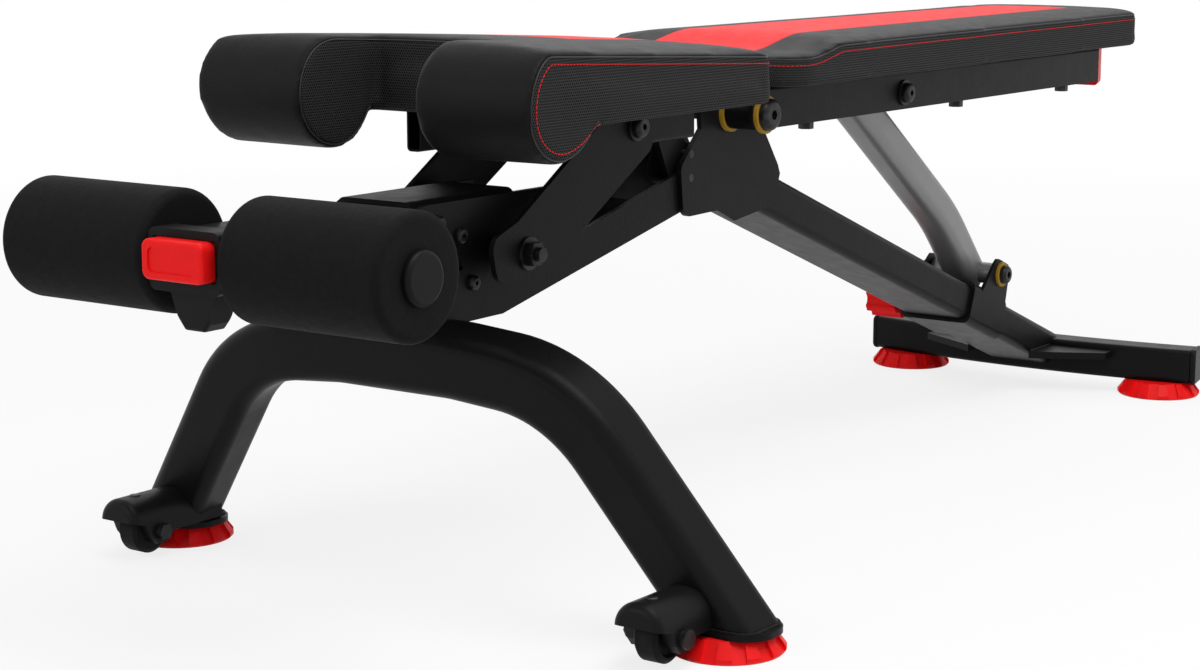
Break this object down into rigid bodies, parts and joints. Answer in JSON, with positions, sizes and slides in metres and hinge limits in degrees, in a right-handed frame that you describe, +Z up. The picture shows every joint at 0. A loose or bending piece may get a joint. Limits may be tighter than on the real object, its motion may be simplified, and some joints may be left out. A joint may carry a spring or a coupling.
{
  "type": "adjustable weight bench",
  "caption": "Adjustable weight bench with a tilting padded backrest on a bent strut, rolled-front seat, removable foam leg brace, arched front leg with transport wheels and sloping rear tube.",
  "frame": {"origin": "on the floor, below the middle of the bench's bounding box", "axes": "+X from the leg rollers to the head end, +Y to the lifter's left when lying on the bench with the head at +X, +Z up"},
  "size_m": [1.4986, 0.693, 0.4712],
  "materials": {
    "powder_black": "fine matt powder coat",
    "strut_grey": "satin metallic paint",
    "signal_red": "satin moulded plastic",
    "black_plastic": "fine moulded grain",
    "bush_yellow": "smooth bearing polymer",
    "black_bolt": "black oxide",
    "bright_steel": "turned",
    "black_vinyl": "smooth vinyl top, perforated sides, red stripe",
    "black_foam": "closed-cell foam skin",
    "plywood": "birch ply",
    "wheel_rubber": "hard rubber tyre"
  },
  "bodies": {
    "frame": {"front_arch": "powder_black", "front_feet": "signal_red", "front_foot_plates": "powder_black", "rear_feet": "signal_red", "wheel_housing_left": "black_plastic", "wheel_housing_right": "black_plastic", "housing_screws": "black_bolt", "wheel_axles": "black_bolt", "front_plate_left": "powder_black", "front_plate_right": "powder_black", "plate_bolts": "black_bolt", "receiver_tube": "powder_black", "beam_web": "powder_black", "seat_link_left": "powder_black", "seat_link_right": "powder_black", "link_spacers": "powder_black", "link_bolts_lower": "black_bolt", "link_bolts_upper": "black_bolt", "seat_rail_left": "powder_black", "seat_rail_right": "powder_black", "seat_cross_bars": "powder_black", "seat_lugs": "powder_black", "lug_bolts": "black_bolt", "seat_board": "plywood", "seat_pad": "black_vinyl", "centre_plate_left": "powder_black", "centre_plate_right": "powder_black", "rear_tube": "powder_black", "rear_crossbar": "powder_black", "crossbar_caps": "black_plastic", "rear_gussets": "powder_black", "pivot_axle": "black_bolt"},
    "backrest": {"backrest_channel": "powder_black", "pivot_sleeves": "powder_black", "pivot_bushes": "bush_yellow", "backrest_straps": "powder_black", "rail_bolts": "black_bolt", "backrest_board": "plywood", "backrest_pad": "black_vinyl", "pad_bolts": "black_bolt", "end_grip": "signal_red"},
    "carriage": {"carriage": "powder_black", "carriage_bushes": "bush_yellow", "carriage_axle": "black_bolt", "pin_housing": "powder_black"},
    "strut": {"strut_tube": "strut_grey", "strut_head": "strut_grey", "strut_foot": "strut_grey"},
    "lock_knob": {"lock_knob": "signal_red", "lock_pin": "bright_steel"},
    "leg_brace": {"brace_post": "powder_black", "brace_nose": "black_plastic", "roller_tube": "powder_black", "roller_caps": "black_plastic"},
    "release_button": {"release_button": "signal_red"},
    "roller_left": {"foam_roller_left": "black_foam"},
    "roller_right": {"foam_roller_right": "black_foam"},
    "wheel_left": {"wheel_left": "wheel_rubber"},
    "wheel_right": {"wheel_right": "wheel_rubber"}
  },
  "joints": [
    {"name": "backrest_tilt", "type": "hinge", "parent": "frame", "child": "backrest", "pos_m": [-0.06631, 0, 0.382], "axis": [0, -1, 0], "range_deg": [0, 85]},
    {"name": "carriage_slide", "type": "slide", "parent": "frame", "child": "carriage", "axis": [-0.9333, 0, 0.359], "range_m": [0, 0.3822]},
    {"name": "strut_swing", "type": "hinge", "parent": "carriage", "child": "strut", "pos_m": [0.52369, 0, 0.154], "axis": [0, 1, 0], "range_deg": [0, 24.72]},
    {"name": "knob_pull", "type": "slide", "parent": "carriage", "child": "lock_knob", "axis": [0, 1, 0], "range_m": [0, 0.01], "stiffness_N_per_m": 600},
    {"name": "brace_slide", "type": "slide", "parent": "frame", "child": "leg_brace", "axis": [-1, 0, 0], "range_m": [0, 0.12]},
    {"name": "button_press", "type": "slide", "parent": "leg_brace", "child": "release_button", "axis": [1, 0, 0], "range_m": [0, 0.006], "stiffness_N_per_m": 600},
    {"name": "roller_left_spin", "type": "hinge", "parent": "leg_brace", "child": "roller_left", "pos_m": [-0.69531, 0.116, 0.316], "axis": [0, 1, 0], "continuous": true},
    {"name": "roller_right_spin", "type": "hinge", "parent": "leg_brace", "child": "roller_right", "pos_m": [-0.69531, -0.116, 0.316], "axis": [0, 1, 0], "continuous": true},
    {"name": "wheel_left_spin", "type": "hinge", "parent": "frame", "child": "wheel_left", "pos_m": [-0.51731, 0.28, 0.025], "axis": [0, 1, 0], "continuous": true},
    {"name": "wheel_right_spin", "type": "hinge", "parent": "frame", "child": "wheel_right", "pos_m": [-0.51731, -0.28, 0.025], "axis": [0, 1, 0], "continuous": true}
  ],
  "couplings": [
    {"joint": "carriage_slide", "follows": "backrest_tilt", "m_per_rad": 0.25746},
    {"joint": "strut_swing", "follows": "backrest_tilt", "ratio": 0.29027}
  ]
}
